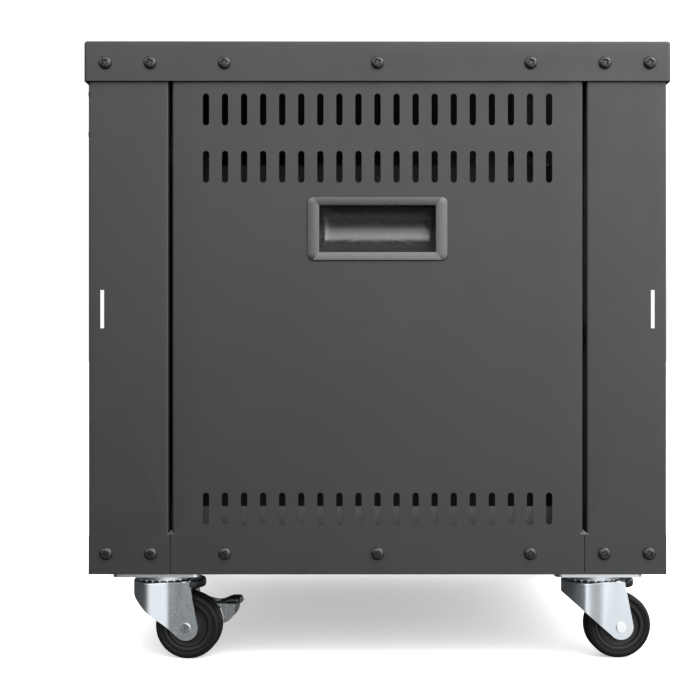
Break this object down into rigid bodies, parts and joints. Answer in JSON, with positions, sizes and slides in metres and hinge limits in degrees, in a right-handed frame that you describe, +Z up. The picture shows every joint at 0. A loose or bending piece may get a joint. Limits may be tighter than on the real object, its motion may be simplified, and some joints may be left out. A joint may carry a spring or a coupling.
{
  "type": "server rack battery",
  "caption": "Wheeled sheet-steel rack cabinet with vented side panels, recessed side handles and rack battery modules behind its open front.",
  "frame": {"origin": "on the floor under the middle of the cabinet", "axes": "+Z up; the cabinet's open front faces -X and its right-hand side faces -Y"},
  "size_m": [0.5613, 0.5566, 0.5895],
  "materials": {
    "powder_coat": "satin black powder coat",
    "handle_plastic": "fine-grained black moulding",
    "rail_zinc": "dull zinc plate",
    "black_screw": "gloss black",
    "zinc_bolt": "bright zinc plate",
    "caster_zinc": "bright zinc plate, faintly blue",
    "brake_steel": "bright zinc plate",
    "rivet_steel": "polished rivet",
    "ball_steel": "polished",
    "wheel_plastic": "satin black moulding",
    "tread_rubber": "satin hard rubber",
    "pedal_rubber": "satin",
    "copper_bar": "bare copper",
    "insulator_plastic": "moulded red insulator",
    "module_paint": "satin grey paint",
    "module_front_paint": "fine texture black paint",
    "cell_case": "blue film over an aluminium can",
    "circuit_board": "green solder mask",
    "breaker_plastic": "pale grey moulding",
    "breaker_toggle": "gloss black",
    "button_steel": "polished steel",
    "terminal_brass": "bright brass",
    "grip_paint": "satin black"
  },
  "bodies": {
    "cabinet": {"base_tray": "powder_coat", "battery_boards": "circuit_board", "breaker_bodies": "breaker_plastic", "bus_bar_negative": "copper_bar", "bus_bar_positive": "copper_bar", "bus_cover": "powder_coat", "bus_insulators": "insulator_plastic", "case_screws": "black_screw", "caster_bolts": "zinc_bolt", "corner_post_front_left": "powder_coat", "corner_post_front_right": "powder_coat", "corner_post_rear_left": "powder_coat", "corner_post_rear_right": "powder_coat", "front_left_caster_plate": "caster_zinc", "front_right_caster_plate": "caster_zinc", "front_screws": "black_screw", "handle_left": "handle_plastic", "handle_right": "handle_plastic", "kingpins": "rivet_steel", "lower_cells": "cell_case", "lower_module_case": "module_paint", "lower_module_front": "module_front_paint", "module_grips": "grip_paint", "race_balls": "ball_steel", "rack_rails_front": "rail_zinc", "rack_rails_rear": "rail_zinc", "rear_left_caster_plate": "caster_zinc", "rear_right_caster_plate": "caster_zinc", "shelf_angles": "rail_zinc", "side_panel_left": "powder_coat", "side_panel_right": "powder_coat", "terminal_posts": "terminal_brass", "top_cover": "powder_coat", "upper_cells": "cell_case", "upper_module_case": "module_paint", "upper_module_front": "module_front_paint"},
    "front_right_caster": {"front_right_fork": "caster_zinc", "front_right_fork_pins": "rivet_steel"},
    "front_right_wheel": {"front_right_wheel_core": "wheel_plastic", "front_right_tyre": "tread_rubber"},
    "front_right_brake": {"front_right_brake_lever": "brake_steel", "front_right_brake_pedal": "pedal_rubber"},
    "rear_right_caster": {"rear_right_fork": "caster_zinc", "rear_right_fork_pins": "rivet_steel"},
    "rear_right_wheel": {"rear_right_wheel_core": "wheel_plastic", "rear_right_tyre": "tread_rubber"},
    "front_left_caster": {"front_left_fork": "caster_zinc", "front_left_fork_pins": "rivet_steel"},
    "front_left_wheel": {"front_left_wheel_core": "wheel_plastic", "front_left_tyre": "tread_rubber"},
    "front_left_brake": {"front_left_brake_lever": "brake_steel", "front_left_brake_pedal": "pedal_rubber"},
    "rear_left_caster": {"rear_left_fork": "caster_zinc", "rear_left_fork_pins": "rivet_steel"},
    "rear_left_wheel": {"rear_left_wheel_core": "wheel_plastic", "rear_left_tyre": "tread_rubber"},
    "lower_breaker": {"lower_breaker_lever": "breaker_toggle"},
    "lower_button": {"lower_power_button": "button_steel"},
    "upper_breaker": {"upper_breaker_lever": "breaker_toggle"},
    "upper_button": {"upper_power_button": "button_steel"}
  },
  "joints": [
    {"name": "front_right_swivel", "type": "hinge", "parent": "cabinet", "child": "front_right_caster", "pos_m": [-0.209, -0.2215, 0.0785], "axis": [0, 0, 1], "continuous": true},
    {"name": "front_right_roll", "type": "hinge", "parent": "front_right_caster", "child": "front_right_wheel", "pos_m": [-0.18368, -0.22349, 0.03175], "axis": [0.0785, 0.9969, 0], "continuous": true},
    {"name": "front_right_brake_press", "type": "hinge", "parent": "front_right_caster", "child": "front_right_brake", "pos_m": [-0.19205, -0.22283, 0.0682], "axis": [0.0785, 0.9969, 0], "range_deg": [0, 4]},
    {"name": "rear_right_swivel", "type": "hinge", "parent": "cabinet", "child": "rear_right_caster", "pos_m": [0.209, -0.2215, 0.0785], "axis": [0, 0, 1], "continuous": true},
    {"name": "rear_right_roll", "type": "hinge", "parent": "rear_right_caster", "child": "rear_right_wheel", "pos_m": [0.23434, -0.21977, 0.03175], "axis": [-0.068, 0.9977, 0], "continuous": true},
    {"name": "front_left_swivel", "type": "hinge", "parent": "cabinet", "child": "front_left_caster", "pos_m": [-0.209, 0.2215, 0.0785], "axis": [0, 0, 1], "continuous": true},
    {"name": "front_left_roll", "type": "hinge", "parent": "front_left_caster", "child": "front_left_wheel", "pos_m": [-0.231, 0.2342, 0.03175], "axis": [-0.5, -0.866, 0], "continuous": true},
    {"name": "front_left_brake_press", "type": "hinge", "parent": "front_left_caster", "child": "front_left_brake", "pos_m": [-0.22372, 0.23, 0.0682], "axis": [-0.5, -0.866, 0], "range_deg": [0, 4]},
    {"name": "rear_left_swivel", "type": "hinge", "parent": "cabinet", "child": "rear_left_caster", "pos_m": [0.209, 0.2215, 0.0785], "axis": [0, 0, 1], "continuous": true},
    {"name": "rear_left_roll", "type": "hinge", "parent": "rear_left_caster", "child": "rear_left_wheel", "pos_m": [0.23384, 0.22678, 0.03175], "axis": [-0.2079, 0.9781, 0], "continuous": true},
    {"name": "lower_breaker_throw", "type": "hinge", "parent": "cabinet", "child": "lower_breaker", "pos_m": [-0.2345, -0.15, 0.225], "axis": [0, -1, 0], "range_deg": [0, 50]},
    {"name": "lower_button_press", "type": "slide", "parent": "cabinet", "child": "lower_button", "axis": [1, 0, 0], "range_m": [0, 0.002], "stiffness_N_per_m": 300},
    {"name": "upper_breaker_throw", "type": "hinge", "parent": "cabinet", "child": "upper_breaker", "pos_m": [-0.2345, -0.15, 0.4028], "axis": [0, -1, 0], "range_deg": [0, 50]},
    {"name": "upper_button_press", "type": "slide", "parent": "cabinet", "child": "upper_button", "axis": [1, 0, 0], "range_m": [0, 0.002], "stiffness_N_per_m": 300}
  ]
}
